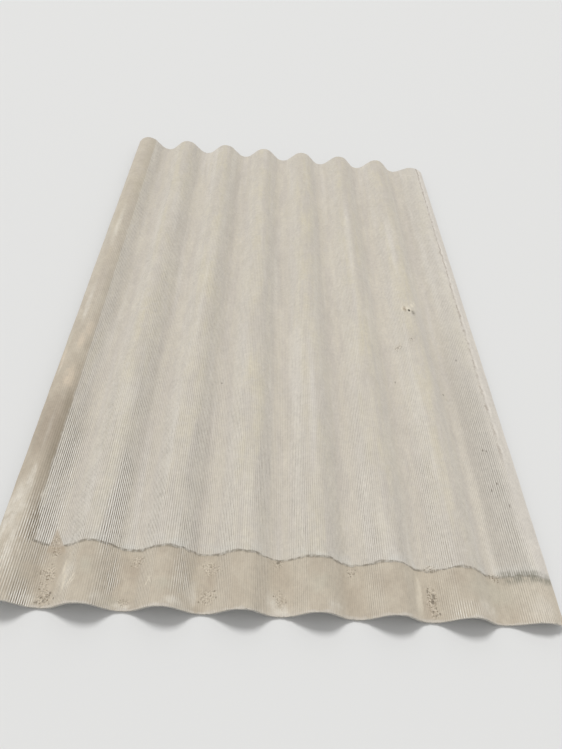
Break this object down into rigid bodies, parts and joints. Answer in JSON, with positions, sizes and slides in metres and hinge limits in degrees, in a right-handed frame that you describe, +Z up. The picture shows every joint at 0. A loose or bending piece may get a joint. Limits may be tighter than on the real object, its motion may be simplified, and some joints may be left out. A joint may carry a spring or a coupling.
{
  "type": "corrugated fiber cement sheet",
  "caption": "Flat-lying corrugated fibre-cement roofing sheet with rounded waves along its length, one lower edge wave for the side lap, and a nail hole.",
  "frame": {"origin": "under the middle of the sheet, on the plane that its valleys rest on", "axes": "+Y along the waves, towards the far end; +X across the waves, towards the low edge wave; +Z up"},
  "size_m": [1.13, 1.75, 0.0458],
  "materials": {
    "fibre_cement": "matte"
  },
  "bodies": {
    "root": {"corrugated_sheet": "fibre_cement"}
  },
  "joints": []
}
